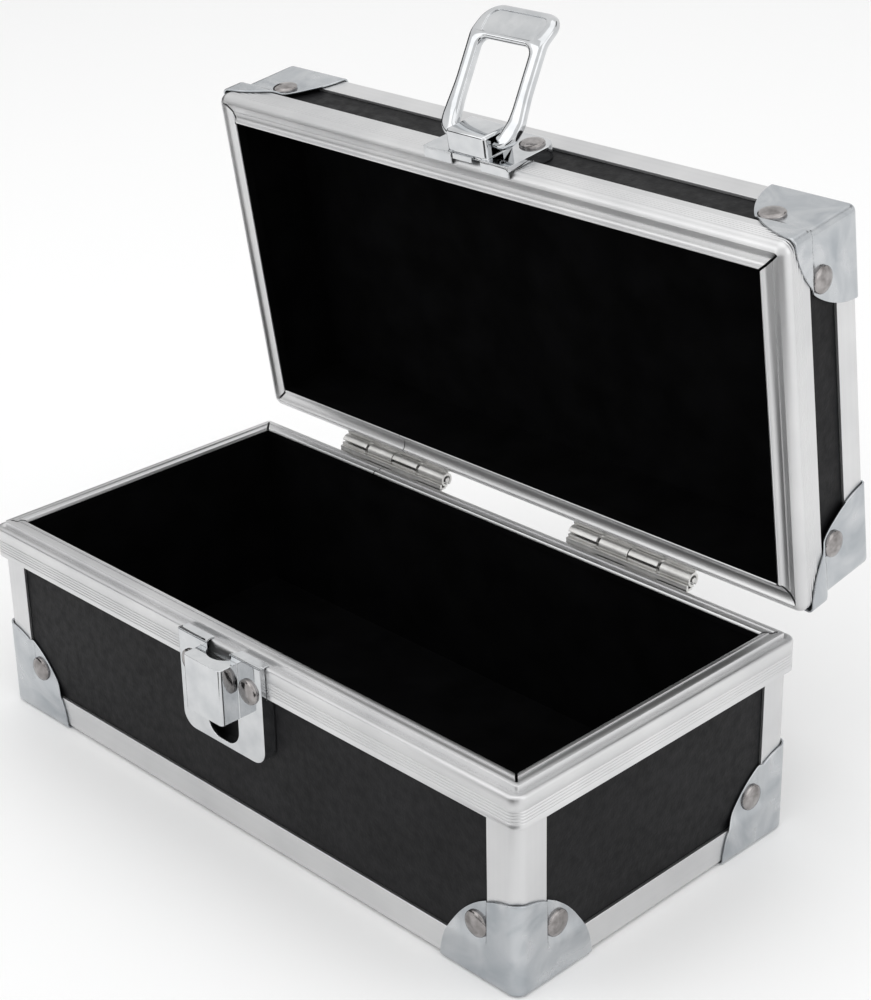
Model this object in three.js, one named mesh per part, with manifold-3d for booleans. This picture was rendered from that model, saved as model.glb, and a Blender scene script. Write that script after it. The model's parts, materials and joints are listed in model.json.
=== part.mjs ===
// A small aluminium-framed cash box with a hinged lid and a loop latch, standing with its lid open.
// Laminate boards are held in satin aluminium extrusions: a rim round the mouth of the body and of
// the lid, angle posts at the body's corners, angle edging along the outer edges, and pressed steel
// caps over the corners. Millimetres, +Z up, X along the box, the latch on the -Y side.
// The origin is on the standing plane, at the middle of the body's footprint.
import * as THREE from "three";
import { mergeVertices } from "three/addons/utils/BufferGeometryUtils.js";
import Module from "manifold-3d";

const wasm = await Module();
wasm.setup();

// Driving dimensions.
const boxLength = 186; // over the rim skirts, along X
const boxDepth = 94; // over the rim skirts, along Y
const bodyLedge = 51.1; // top of the body rim's outer ledge
const tongueTop = 52.5; // top of the raised tongue that the lid's rim drops over
const lidSeat = 52.1; // lower edge of the closed lid's skirt
const lidHeight = 26; // from that edge to the top of the lid's edging
const cornerRadius = 2.9; // outer corner of the rims and posts
const bodySkirt = 8.1; // height of the body rim's skirt below the ledge
const lidSkirt = 8.1; // height of the lid rim's skirt
const skirtWall = 1.1;
const webWall = 1;
const bodyRimWidth = 6.1; // from the skirt's face to the rim's inner edge
const lidRimWidth = 6.8;
const tongueInset = 2.2; // from the skirt's face to the tongue
const lidLip = 1.8; // width of the lid's lip, outside the tongue
const lidRecess = 1.4; // how far the lid's rim is stepped up to clear the tongue
const lidFlangeWall = 0.6; // flange at the lid rim's inner edge, just inside the body's mouth
const lidFlangeDrop = 0.3; // how far that flange reaches below the lid's skirt
const edgeInset = 1.24; // posts and edging stand this far inside the skirt's face
const edgeWall = 0.76;
const postWidth = 9;
const bottomEdging = 7.8;
const topEdging = 7.2;
const boardInset = 2.1;
const boardThickness = 3;
const liningWall = 0.7;
const seam = 0.1; // gap left between neighbouring pieces
const capReach = 23.6; // how far a corner cap runs along each edge
const capWall = 0.5;
const capCurve = 1.85; // exponent of the cap's outline
const lidOpen = 81.4; // degrees, where the hinges stop
const hingeY = 49.7;
const hingeZ = 53;
const hingeLength = 39;
const hingeCentres = [-43.8, 40.2]; // the two hinges, along X
const loopUp = 124.2; // degrees from hanging, where the loop meets its stop
const loopPivotY = -51.5;
const loopPivotZ = 56.4;

const halfX = boxLength / 2;
const halfY = boxDepth / 2;
const lidTop = lidSeat + lidHeight;
const footGap = 0.6; // the caps lift the edging this far off the table
const degree = Math.PI / 180;

// Finishes.
const finish = (color, roughness, metalness) => ({ color, roughness, metalness });
const satinAluminium = finish(0xd4d5d6, 0.38, 1);
const zincSteel = finish(0xc2c6ca, 0.3, 1);
const chrome = finish(0xd8dadd, 0.08, 1);
const darkNickel = finish(0x8d8583, 0.28, 1);
const hingeSteel = finish(0xb9bab8, 0.3, 1);
const blackLaminate = finish(0x262628, 0.62, 0);
const blackFelt = finish(0x0a0a0b, 0.95, 0);

const cashBox = new THREE.Group();
const body = new THREE.Group();
// Everything in the lid is placed as if the lid were shut, then turned about the hinge axis.
const lidTurn = new THREE.Group();
lidTurn.position.set(0, hingeY, hingeZ);
lidTurn.rotation.x = -lidOpen * degree;
const lid = new THREE.Group();
lid.position.set(0, -hingeY, -hingeZ);
lidTurn.add(lid);
// The loop is placed as it hangs when latched, then turned about its bar.
const loopTurn = new THREE.Group();
loopTurn.position.set(0, loopPivotY, loopPivotZ);
loopTurn.rotation.x = -loopUp * degree;
lid.add(loopTurn);
cashBox.add(body, lidTurn);

// A closed three.js geometry as a solid that can be joined and cut.
function solidOf(geometry) {
  const bare = geometry.index ? geometry.toNonIndexed() : geometry.clone();
  bare.deleteAttribute("normal");
  bare.deleteAttribute("uv");
  const merged = mergeVertices(bare, 1e-4);
  return new wasm.Manifold(
    new wasm.Mesh({
      numProp: 3,
      vertProperties: new Float32Array(merged.attributes.position.array),
      triVerts: new Uint32Array(merged.index.array),
    }),
  );
}

// A solid back as a three.js geometry with flat facets.
function geometryOf(solid) {
  const made = solid.getMesh();
  const indexed = new THREE.BufferGeometry();
  indexed.setAttribute("position", new THREE.BufferAttribute(made.vertProperties, 3));
  indexed.setIndex(new THREE.BufferAttribute(made.triVerts, 1));
  const geometry = indexed.toNonIndexed();
  geometry.computeVertexNormals();
  return geometry;
}

// Adds one named piece to a group.
function addPiece(group, name, solid, look) {
  const piece = new THREE.Mesh(geometryOf(solid), new THREE.MeshStandardMaterial(look));
  piece.name = name;
  group.add(piece);
}

// A block between two corners.
function block([x0, y0, z0], [x1, y1, z1]) {
  const geometry = new THREE.BoxGeometry(x1 - x0, y1 - y0, z1 - z0);
  return solidOf(geometry.translate((x0 + x1) / 2, (y0 + y1) / 2, (z0 + z1) / 2));
}

// A flat outline in XY, from z0 up to z1.
function slab(shape, z0, z1, curveSegments = 6) {
  const geometry = new THREE.ExtrudeGeometry(shape, {
    depth: z1 - z0,
    bevelEnabled: false,
    curveSegments,
  });
  return solidOf(geometry.translate(0, 0, z0));
}

// A rod along X, Y or Z between two stations on that axis.
function rod(axis, radius, from, to, across = [0, 0], sides = 20) {
  const geometry = new THREE.CylinderGeometry(radius, radius, to - from, sides);
  const middle = (from + to) / 2;
  if (axis === "x") geometry.rotateZ(-Math.PI / 2).translate(middle, across[0], across[1]);
  if (axis === "y") geometry.translate(across[0], middle, across[1]);
  if (axis === "z") geometry.rotateX(Math.PI / 2).translate(across[0], across[1], middle);
  return solidOf(geometry);
}

// A rectangle with round corners, half its size given.
function roundedRectangle(a, b, radius, path = new THREE.Shape()) {
  path.moveTo(a, b - radius);
  path.absarc(a - radius, b - radius, radius, 0, Math.PI / 2, false);
  path.absarc(radius - a, b - radius, radius, Math.PI / 2, Math.PI, false);
  path.absarc(radius - a, radius - b, radius, Math.PI, 1.5 * Math.PI, false);
  path.absarc(a - radius, radius - b, radius, 1.5 * Math.PI, 2 * Math.PI, false);
  path.closePath();
  return path;
}

// One band of a rim, between two distances in from the skirt's face, and between two heights.
function band(outer, inner, z0, z1) {
  const corner = (inset) => Math.max(cornerRadius - inset, 0.3);
  const shape = roundedRectangle(halfX - outer, halfY - outer, corner(outer));
  const hole = roundedRectangle(halfX - inner, halfY - inner, corner(inner), new THREE.Path());
  shape.holes.push(hole);
  return slab(shape, z0, z1, 5);
}

// Rivets are set from outside: each has an axis along Y, the height and place of its centre, the
// surface its domed head rests on, and the way it faces. Their shanks are drilled for.
const shankRadius = 1.2;
const shankDepth = 4.6;
const headRadius = 3.2;
const headHeight = 1.2;

function rivetAt(x, surfaceY, z, outward, head = headRadius) {
  const dome = [new THREE.Vector2(0, -shankDepth), new THREE.Vector2(shankRadius, -shankDepth)];
  dome.push(new THREE.Vector2(shankRadius, 0), new THREE.Vector2(head, 0));
  for (const turn of [0.25, 0.5, 0.75]) {
    const angle = (turn * Math.PI) / 2;
    dome.push(new THREE.Vector2(head * Math.cos(angle), headHeight * Math.sin(angle)));
  }
  dome.push(new THREE.Vector2(0, headHeight));
  const geometry = new THREE.LatheGeometry(dome, 16);
  if (outward < 0) geometry.rotateX(Math.PI);
  return solidOf(geometry.translate(x, surfaceY + outward * 0.05, z));
}

function rivetHole(x, surfaceY, z, outward) {
  const inner = surfaceY - outward * (shankDepth + 0.1);
  const outer = surfaceY + outward;
  return rod("y", shankRadius + 0.15, Math.min(inner, outer), Math.max(inner, outer), [x, z], 16);
}

const plateFace = -halfY - 1.6; // outer face of the latch's two plates
const leafFace = halfY + 0.9; // outer face of the hinge leaves
const pair = (middle, spread) => [middle - spread, middle + spread];
const rivets = {
  keeper: pair(0, 10.3).map((x) => [x, plateFace, 44, -1]),
  latch: pair(0, 9.6).map((x) => [x, plateFace, lidSeat + 12.8, -1]),
  bodyHinge: hingeCentres.flatMap((c) => pair(c, 11).map((x) => [x, leafFace, 47.4, 1])),
  lidHinge: hingeCentres.flatMap((c) => pair(c, 11).map((x) => [x, leafFace, 58.4, 1])),
};
const holes = (list) => list.map((place) => rivetHole(...place));
const bodyHoles = [...holes(rivets.keeper), ...holes(rivets.bodyHinge)];
const lidHoles = [...holes(rivets.latch), ...holes(rivets.lidHinge)];
const drill = (solid, cutters) => cutters.reduce((left, cutter) => left.subtract(cutter), solid);

// --- Body -----------------------------------------------------------------------------------

const floorTop = footGap + edgeWall + seam + boardThickness; // upper face of the bottom board
const wallTop = bodyLedge - webWall - seam;

// Four wall boards of black laminate, standing on the bottom board.
function wallBoards(group, prefix, z0, z1, cutters) {
  const outer = boardInset;
  const inner = boardInset + boardThickness;
  const long = halfX - 3.7;
  const short = halfY - inner - seam;
  for (const [side, sign] of [["front", -1], ["back", 1]]) {
    const [y0, y1] = [sign * (halfY - outer), sign * (halfY - inner)].sort((a, b) => a - b);
    const board = block([-long, y0, z0], [long, y1, z1]);
    addPiece(group, `${prefix}${side}_panel`, drill(board, cutters), blackLaminate);
  }
  for (const [side, sign] of [["left", -1], ["right", 1]]) {
    const [x0, x1] = [sign * (halfX - outer), sign * (halfX - inner)].sort((a, b) => a - b);
    addPiece(group, `${prefix}${side}_panel`, block([x0, -short, z0], [x1, short, z1]), blackLaminate);
  }
}
wallBoards(body, "", floorTop + seam, wallTop, bodyHoles);

// The bottom board has a flat field between the edging, a little proud of its covered margins.
const fieldFace = 1.1;
const fieldInset = edgeInset + postWidth;
const capClear = capReach + 1.6;
const boardSpanX = halfX - boardInset - 0.9;
const boardSpanY = halfY - boardInset - 0.9;
const field = (x, y) => block([-x, -y, fieldFace], [x, y, floorTop]);
const bottomBoard = block(
  [-boardSpanX, -boardSpanY, floorTop - boardThickness],
  [boardSpanX, boardSpanY, floorTop],
)
  .add(field(halfX - fieldInset, halfY - capClear))
  .add(field(halfX - capClear, halfY - fieldInset));
addPiece(body, "bottom_panel", bottomBoard, blackLaminate);

// A thin flocked lining covers the inside: a tray, open at the mouth.
const liningOuter = boardInset + boardThickness + seam;
function liningTray(z0, z1, floorAtTop) {
  const outer = block(
    [liningOuter - halfX, liningOuter - halfY, z0],
    [halfX - liningOuter, halfY - liningOuter, z1],
  );
  const inset = liningOuter + liningWall;
  const low = floorAtTop ? z0 - 1 : z0 + liningWall;
  const high = floorAtTop ? z1 - liningWall : z1 + 1;
  return outer.subtract(block([inset - halfX, inset - halfY, low], [halfX - inset, halfY - inset, high]));
}
addPiece(body, "body_lining", liningTray(floorTop + seam, wallTop, false), blackFelt);

// The rim is one extrusion bent round the mouth: a skirt outside, a web over the boards with an
// outer ledge, and a raised tongue with a shallow groove along it.
const bodyRim = band(0, skirtWall, bodyLedge - bodySkirt, bodyLedge)
  .add(band(0, bodyRimWidth, bodyLedge - webWall, bodyLedge))
  .add(band(tongueInset, bodyRimWidth, bodyLedge - webWall, tongueTop))
  .subtract(band(3.7, 4.7, tongueTop - 0.35, tongueTop + 1));
addPiece(body, "body_rim", drill(bodyRim, bodyHoles), satinAluminium);

// Angle section with a round outer corner: its two faces lie on x = 0 and y = 0.
function angleShape(legX, legY, radius) {
  const inner = Math.max(radius - edgeWall, 0.2);
  const shape = new THREE.Shape();
  shape.moveTo(legX, 0);
  shape.lineTo(legX, edgeWall);
  shape.lineTo(edgeWall + inner, edgeWall);
  shape.absarc(edgeWall + inner, edgeWall + inner, inner, 1.5 * Math.PI, Math.PI, true);
  shape.lineTo(edgeWall, legY);
  shape.lineTo(0, legY);
  shape.absarc(radius, radius, radius, Math.PI, 1.5 * Math.PI, false);
  shape.closePath();
  return shape;
}

// Four corner posts, from inside the bottom caps up to the rim's web.
const corners = [
  ["front_left", -1, -1],
  ["front_right", 1, -1],
  ["back_right", 1, 1],
  ["back_left", -1, 1],
];
for (const [corner, a, b] of corners) {
  const post = slab(angleShape(postWidth, postWidth, cornerRadius), footGap + seam, wallTop, 6);
  const placed = a * b > 0 ? post.rotate([0, 0, a < 0 ? 0 : 180]) : post.rotate([0, 0, a > 0 ? 90 : 270]);
  const x = a * (halfX - edgeInset);
  const y = b * (halfY - edgeInset);
  addPiece(body, `post_${corner}`, placed.translate([x, y, 0]), satinAluminium);
}

// Angle edging along the outer edges, between the corners. Its first leg lies under the board and
// its second runs up the side, or down it where the edging is turned over for the lid.
const edgeEnd = edgeInset + postWidth + 0.3;
const edgeLap = postWidth - 1.2;
function edging(group, prefix, faceZ, legZ, turnedOver) {
  for (const [side, turn, reach, run] of [
    ["front", 0, halfY, halfX],
    ["right", 90, halfX, halfY],
    ["back", 180, halfY, halfX],
    ["left", 270, halfX, halfY],
  ]) {
    const length = 2 * (run - edgeEnd);
    const bar = slab(angleShape(edgeLap, legZ, 1), -length / 2, length / 2, 3).rotate([90, 0, 90]);
    const upright = turnedOver ? bar.mirror([0, 0, 1]) : bar;
    const placed = upright.translate([0, edgeInset - reach, faceZ]).rotate([0, 0, turn]);
    addPiece(group, `${prefix}_${side}`, placed, satinAluminium);
  }
}
edging(body, "bottom_edge", footGap, bottomEdging, false);

// Pressed steel corner cap: three thin walls that meet at a round corner, each with a curved edge.
// It is made for the corner at -X, -Y and below, with its outer corner at the origin.
function cornerCap() {
  const outer = 1.6;
  const shell = (inset, reach) => {
    const shape = new THREE.Shape();
    const radius = outer - inset;
    shape.moveTo(reach, inset);
    shape.lineTo(reach, reach);
    shape.lineTo(inset, reach);
    shape.lineTo(inset, inset + radius);
    shape.absarc(inset + radius, inset + radius, radius, Math.PI, 1.5 * Math.PI, false);
    shape.closePath();
    return slab(shape, inset, reach, 4);
  };
  const walls = shell(0, capReach + 1).subtract(shell(capWall, capReach + 3));
  const outline = new THREE.Shape();
  outline.moveTo(-1, -1);
  outline.lineTo(capReach, -1);
  const steps = 12;
  for (let i = 0; i <= steps; i += 1) {
    const angle = (i / steps) * (Math.PI / 2);
    const across = capReach * Math.cos(angle) ** (2 / capCurve);
    const up = capReach * Math.sin(angle) ** (2 / capCurve);
    outline.lineTo(across, up);
  }
  outline.lineTo(-1, capReach);
  outline.closePath();
  const prism = slab(outline, -1, capReach + 4, 1);
  return walls
    .intersect(prism)
    .intersect(prism.rotate([90, 0, 0]).mirror([0, 1, 0]))
    .intersect(prism.rotate([0, -90, 0]).mirror([1, 0, 0]));
}
const cap = cornerCap();
// Turned copies serve two corners of a level, and mirror images the other two.
function placeCap(group, name, x, y, z, a, b, c) {
  let placed = cap;
  if (a > 0) placed = placed.mirror([1, 0, 0]);
  if (b > 0) placed = placed.mirror([0, 1, 0]);
  if (c > 0) placed = placed.mirror([0, 0, 1]);
  addPiece(group, name, placed.translate([x, y, z]), zincSteel);
}
const bodyCapInset = edgeInset - seam - capWall;
for (const [corner, a, b] of corners) {
  const x = a * (halfX - bodyCapInset);
  const y = b * (halfY - bodyCapInset);
  placeCap(body, `bottom_cap_${corner}`, x, y, 0, a, b, -1);
}

// Both latch plates are stamped with a shallow flange round them and hooked over the rim. The
// outline is seen from the front and runs from z0, where its corners are round, to z1.
const plateWall = 0.8;
const plateRound = 4;
function plateOutline(half, z0, z1, inset) {
  const shape = new THREE.Shape();
  const a = half - inset;
  const up = Math.sign(z1 - z0);
  const round = plateRound - inset;
  const low = z0 + up * inset;
  const arc = (x, from, to) => {
    if (up > 0) shape.absarc(x, low + round, round, from, to, false);
    else shape.absarc(x, low - round, round, -from, -to, true);
  };
  shape.moveTo(a, z1 + up * inset);
  shape.lineTo(-a, z1 + up * inset);
  arc(round - a, Math.PI, 1.5 * Math.PI);
  arc(a - round, 1.5 * Math.PI, 2 * Math.PI);
  shape.closePath();
  return shape;
}
// Stands an outline up and runs it back along +Y between two distances.
const standing = (shape, y0, y1) => slab(shape, -y1, -y0, 5).rotate([90, 0, 0]);
const onSkirt = -halfY - seam;
const onBoard = -halfY + boardInset - seam;
const hookDepth = 1.4;
const hookWall = 0.4;
const hookGap = 4.8; // half the gap between the two halves of a hook

// A stamped plate with its flange; it stands on the skirt between the heights skirtFrom and
// skirtTo, and on the board elsewhere.
function stampedPlate(half, z0, z1, skirtFrom, skirtTo) {
  const face = standing(plateOutline(half, z0, z1, 0), plateFace, plateFace + plateWall);
  const flange = standing(plateOutline(half, z0, z1, 0), plateFace, onBoard)
    .subtract(standing(plateOutline(half, z0, z1, plateWall), plateFace - 1, halfY))
    .subtract(block([-halfX, onSkirt, skirtFrom - seam], [halfX, halfY, skirtTo + seam]));
  return face.add(flange);
}

// Keeper: its hollow nose is what the loop drops over, and a window opens behind and below it.
const keeperHalf = 14.7;
const keeperLow = 25.5;
const keeperHigh = bodyLedge + hookWall;
const noseHalf = 6.5;
const noseFace = plateFace - 5.4;
const noseLow = 35.3;
const noseHigh = 49.8;
const noseWall = 0.9;
const keeper = stampedPlate(keeperHalf, keeperLow, keeperHigh, bodyLedge - bodySkirt, halfX)
  .add(
    block(
      [-keeperHalf, plateFace, bodyLedge + seam / 2],
      [keeperHalf, hookDepth - halfY, keeperHigh],
    ),
  )
  .add(block([-noseHalf, noseFace, noseLow], [noseHalf, plateFace + 0.4, noseHigh]))
  .subtract(
    block(
      [noseWall - noseHalf, noseFace + noseWall, keeperLow + 2.2],
      [noseHalf - noseWall, onSkirt + seam, noseHigh - noseWall],
    ),
  )
  .subtract(rod("z", hookGap, noseHigh - 1.5, keeperHigh + 1, [0, 1 - halfY]));
addPiece(body, "keeper_plate", drill(keeper, bodyHoles), chrome);

// Latch and keeper rivets, and the rivets through the hinge leaves.
function setRivets(group, name, places, head) {
  places.forEach(([x, y, z, outward], i) =>
    addPiece(group, `${name}_${i + 1}`, rivetAt(x, y, z, outward, head), darkNickel),
  );
}
const hingeHead = 2.6;
setRivets(body, "keeper_rivet", rivets.keeper, headRadius);
setRivets(body, "hinge_body_rivet", rivets.bodyHinge, hingeHead);

// --- Hinges ---------------------------------------------------------------------------------

// Four knuckles on one pin: the lid's and the body's take turns along it.
const knuckles = 4;
const knuckleRadius = 1.65;
const knuckleGap = 0.3;
const pinRadius = 0.9;
const knuckleBore = 1;
const leafInner = halfY + seam;
const leafHeight = 8.6;
const leafStart = 0.4; // from the pin's height to the leaf's edge
const knuckleLength = (hingeLength - (knuckles - 1) * knuckleGap) / knuckles;

function leaf(middle, up, first) {
  const x0 = middle - hingeLength / 2;
  const heights = (a, b) => [hingeZ + up * a, hingeZ + up * b].sort((p, q) => p - q);
  const [z0, z1] = heights(leafStart, leafStart + leafHeight);
  let made = block([x0, leafInner, z0], [x0 + hingeLength, leafFace, z1]);
  for (let i = first; i < knuckles; i += 2) {
    const from = x0 + i * (knuckleLength + knuckleGap);
    const to = from + knuckleLength;
    const [low, high] = heights(0, leafStart + 1.3);
    made = made
      .add(block([from, leafInner, low], [to, hingeY - 0.5, high]))
      .add(rod("x", knuckleRadius, from, to, [hingeY, hingeZ]));
  }
  return made.subtract(rod("x", knuckleBore, x0 - 1, x0 + hingeLength + 1, [hingeY, hingeZ]));
}
hingeCentres.forEach((middle, i) => {
  const side = i ? "right" : "left";
  const ends = pair(middle, hingeLength / 2 + 0.3);
  addPiece(body, `hinge_${side}_body_leaf`, drill(leaf(middle, -1, 1), bodyHoles), hingeSteel);
  addPiece(lid, `hinge_${side}_lid_leaf`, drill(leaf(middle, 1, 0), lidHoles), hingeSteel);
  addPiece(body, `hinge_${side}_pin`, rod("x", pinRadius, ...ends, [hingeY, hingeZ]), hingeSteel);
});

// --- Lid ------------------------------------------------------------------------------------

const lidWallBottom = lidSeat + lidRecess + webWall + seam;
const topBoardOuter = lidTop - edgeWall - seam;
const lidWallTop = topBoardOuter - boardThickness - seam;
wallBoards(lid, "lid_", lidWallBottom, lidWallTop, lidHoles);
const topBoard = block(
  [-boardSpanX, -boardSpanY, topBoardOuter - boardThickness],
  [boardSpanX, boardSpanY, topBoardOuter],
);
addPiece(lid, "lid_top_panel", topBoard, blackLaminate);
addPiece(lid, "lid_lining", liningTray(lidWallBottom, lidWallTop, true), blackFelt);

// The lid's rim has a skirt, a lip that stands on the ledge side, a step up over the tongue, and
// a flange that drops just inside the body's mouth.
const lidWebTop = lidSeat + lidRecess + webWall;
const lidRim = band(0, skirtWall, lidSeat, lidSeat + lidSkirt)
  .add(band(0, lidLip, lidSeat, lidWebTop))
  .add(band(0, lidRimWidth, lidSeat + lidRecess, lidWebTop))
  .add(band(lidRimWidth - lidFlangeWall, lidRimWidth, lidSeat - lidFlangeDrop, lidWebTop));
addPiece(lid, "lid_rim", drill(lidRim, lidHoles), satinAluminium);
edging(lid, "lid_edge", lidTop, topEdging, true);
// The lid's caps lap over its skirt, so they stand proud of it.
const lidCapProud = capWall + 0.15;
for (const [corner, a, b] of corners) {
  const x = a * (halfX + lidCapProud);
  const y = b * (halfY + lidCapProud);
  placeCap(lid, `lid_cap_${corner}`, x, y, lidTop + footGap, a, b, 1);
}
setRivets(lid, "hinge_lid_rivet", rivets.lidHinge, hingeHead);

// --- Latch ----------------------------------------------------------------------------------

// Latch base: a stamped plate hooked under the lid's skirt, with a hollow bridge pressed up in its
// middle. The loop's bar passes through slots in the bridge's two sides.
const baseHalf = 14;
const baseHigh = lidSeat + 17.3;
const bridgeHalf = 6.4;
const bridgeFace = plateFace - 5.6;
const bridgeWall = 0.9;
const bridgeLow = lidSeat + 0.3;
const bridgeHigh = lidSeat + 9.4;
const barRadius = 1.45;
const barSlot = barRadius + 0.3;
const hookLow = lidSeat - hookWall;
const latchBase = stampedPlate(baseHalf, baseHigh, hookLow, 0, lidSeat + lidSkirt)
  .add(block([-baseHalf, plateFace, hookLow], [baseHalf, hookDepth - halfY, lidSeat - seam / 2]))
  .add(block([-bridgeHalf, bridgeFace, bridgeLow], [bridgeHalf, plateFace + 0.4, bridgeHigh]))
  .subtract(
    block(
      [bridgeWall - bridgeHalf, bridgeFace + bridgeWall, bridgeLow + bridgeWall],
      [bridgeHalf - bridgeWall, plateFace + plateWall + 1, bridgeHigh + 1],
    ),
  )
  .subtract(block([-hookGap, plateFace + plateWall, hookLow - 1], [hookGap, halfY, bridgeLow]))
  .subtract(rod("x", barSlot, -bridgeHalf - 1, bridgeHalf + 1, [loopPivotY, loopPivotZ]));
addPiece(lid, "latch_base", drill(latchBase, lidHoles), chrome);
setRivets(lid, "latch_rivet", rivets.latch, headRadius);

// Loop: a cast ring that hangs from its bar, with a tab at the free end bent out as a finger lift.
// It is drawn about the bar's centre, hanging down, with the box behind it at +Y.
const loopHalf = 11.9;
const armWidth = 3.6;
const armFront = -1.9;
const armBack = 0.9;
const holeEnd = -23.2;
const tabLength = 9;
const tabThickness = 2.4;
const tabBend = 27;
const tabRound = 5;
const tabShape = new THREE.Shape();
tabShape.moveTo(-loopHalf, 0);
tabShape.lineTo(-loopHalf, tabRound - tabLength);
tabShape.absarc(tabRound - loopHalf, tabRound - tabLength, tabRound, Math.PI, 1.5 * Math.PI, false);
tabShape.absarc(loopHalf - tabRound, tabRound - tabLength, tabRound, 1.5 * Math.PI, 2 * Math.PI, false);
tabShape.lineTo(loopHalf, 0);
tabShape.closePath();
const tab = standing(tabShape, -tabThickness / 2, tabThickness / 2)
  .rotate([-tabBend, 0, 0])
  .translate([0, (armFront + armBack) / 2, holeEnd]);
const arm = (x0, x1) => block([x0, armFront, holeEnd - 0.4], [x1, armBack, 1.4]);
const loop = arm(-loopHalf, armWidth - loopHalf)
  .add(arm(loopHalf - armWidth, loopHalf))
  .add(rod("x", barRadius, 0.5 - loopHalf, loopHalf - 0.5))
  .add(tab);
addPiece(loopTurn, "latch_loop", loop, chrome);

export default cashBox;
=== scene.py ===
"""The looks of a small framed cash box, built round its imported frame: lid open, loop raised."""

import json
import math

import bmesh
import bpy
from mathutils import Matrix, Vector


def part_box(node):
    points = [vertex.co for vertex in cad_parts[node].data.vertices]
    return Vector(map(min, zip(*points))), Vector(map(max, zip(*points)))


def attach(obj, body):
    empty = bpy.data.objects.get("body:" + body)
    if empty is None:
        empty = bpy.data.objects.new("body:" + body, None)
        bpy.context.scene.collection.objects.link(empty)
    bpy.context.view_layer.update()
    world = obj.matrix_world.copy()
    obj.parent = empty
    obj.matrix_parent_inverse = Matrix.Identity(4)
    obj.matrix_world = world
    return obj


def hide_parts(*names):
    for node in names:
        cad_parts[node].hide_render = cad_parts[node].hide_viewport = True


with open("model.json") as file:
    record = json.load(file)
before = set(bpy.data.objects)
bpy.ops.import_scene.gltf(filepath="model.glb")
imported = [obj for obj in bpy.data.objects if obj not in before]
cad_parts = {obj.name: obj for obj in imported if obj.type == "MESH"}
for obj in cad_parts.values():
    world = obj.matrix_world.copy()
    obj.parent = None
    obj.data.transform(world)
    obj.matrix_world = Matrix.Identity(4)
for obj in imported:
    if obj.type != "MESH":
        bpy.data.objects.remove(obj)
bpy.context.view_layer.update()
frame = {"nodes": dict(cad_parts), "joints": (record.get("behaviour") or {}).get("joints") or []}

# Camera: a three-quarter view from the front right, a little above the open lid's middle.
camera_data = bpy.data.cameras.new("camera")
camera_data.lens = 78.5
camera_data.sensor_width = 36
camera_data.shift_x = -0.0194
camera_data.shift_y = -0.0533
camera = bpy.data.objects.new("camera", camera_data)
camera.location = (0.3509, -0.3180, 0.2955)
camera.rotation_euler = [math.radians(turn) for turn in (66.09, 0.88, 44.94)]
bpy.context.scene.collection.objects.link(camera)
bpy.context.scene.camera = camera
bpy.context.scene.view_settings.view_transform = "Standard"

# Studio: a pale floor in a white tent of soft lights. The dark cards are seen only in mirroring
# metal, which gives polished edges their dark lines.
def plain_material(name, color, roughness):
    material = bpy.data.materials.new(name)
    material.use_nodes = True
    shader = material.node_tree.nodes["Principled BSDF"]
    shader.inputs["Base Color"].default_value = (*color, 1)
    shader.inputs["Roughness"].default_value = roughness
    return material


def studio_board(name, size, place, aim, material, mirrored_only=False):
    bm = bmesh.new()
    bmesh.ops.create_grid(bm, x_segments=1, y_segments=1, size=0.5)
    bmesh.ops.scale(bm, vec=(*size, 1), verts=bm.verts)
    turn = (Vector(aim) - Vector(place)).to_track_quat("Z", "Y").to_matrix().to_4x4()
    bmesh.ops.transform(bm, matrix=Matrix.Translation(place) @ turn, verts=bm.verts)
    mesh = bpy.data.meshes.new(name)
    bm.to_mesh(mesh)
    bm.free()
    board = bpy.data.objects.new(name, mesh)
    board.data.materials.append(material)
    bpy.context.scene.collection.objects.link(board)
    if mirrored_only:
        board.visible_camera = False
        board.visible_diffuse = False
        board.visible_shadow = False
        board.visible_transmission = False


def soft_light(name, power, size, place, aim=(0, 0, 0.06)):
    light = bpy.data.lights.new(name, "AREA")
    light.energy = power
    light.shape = "RECTANGLE"
    light.size, light.size_y = size
    lamp = bpy.data.objects.new(name, light)
    lamp.location = place
    lamp.rotation_euler = (Vector(aim) - Vector(place)).to_track_quat("-Z", "Y").to_euler()
    bpy.context.scene.collection.objects.link(lamp)


studio_board("floor", (6, 6), (0, 0, 0), (0, 0, 1), plain_material("pale_floor", (0.93, 0.93, 0.93), 0.8))
dark_card = plain_material("dark_card", (0.012, 0.012, 0.013), 0.7)
for name, size, place, aim in (
    ("dark_card_left", (0.5, 0.3), (-0.62, -0.62, 0.2), (0, 0, 0.1)),
    ("dark_card_far_left", (1.3, 0.6), (-1.1, 0.1, 0.32), (0, 0.1, 0.32)),
    ("dark_card_behind", (0.5, 0.22), (0.25, 0.85, 0.75), (0, 0, 0.1)),
    ("dark_card_low", (0.4, 0.4), (0.21, -0.32, 0.004), (0.21, -0.32, 1)),
):
    studio_board(name, size, place, aim, dark_card, mirrored_only=True)
soft_light("overhead", 3.4, (1.4, 1.4), (0.1, -0.1, 1.2))
soft_light("front_left", 1.8, (0.9, 0.9), (-0.55, -1.0, 0.55))
soft_light("front_right", 1.6, (0.9, 0.9), (1.1, 0.15, 0.5))
world = bpy.data.worlds.new("white_tent")
world.use_nodes = True
world.node_tree.nodes["Background"].inputs["Color"].default_value = (1, 1, 1, 1)
world.node_tree.nodes["Background"].inputs["Strength"].default_value = 0.9
bpy.context.scene.world = world

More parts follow.
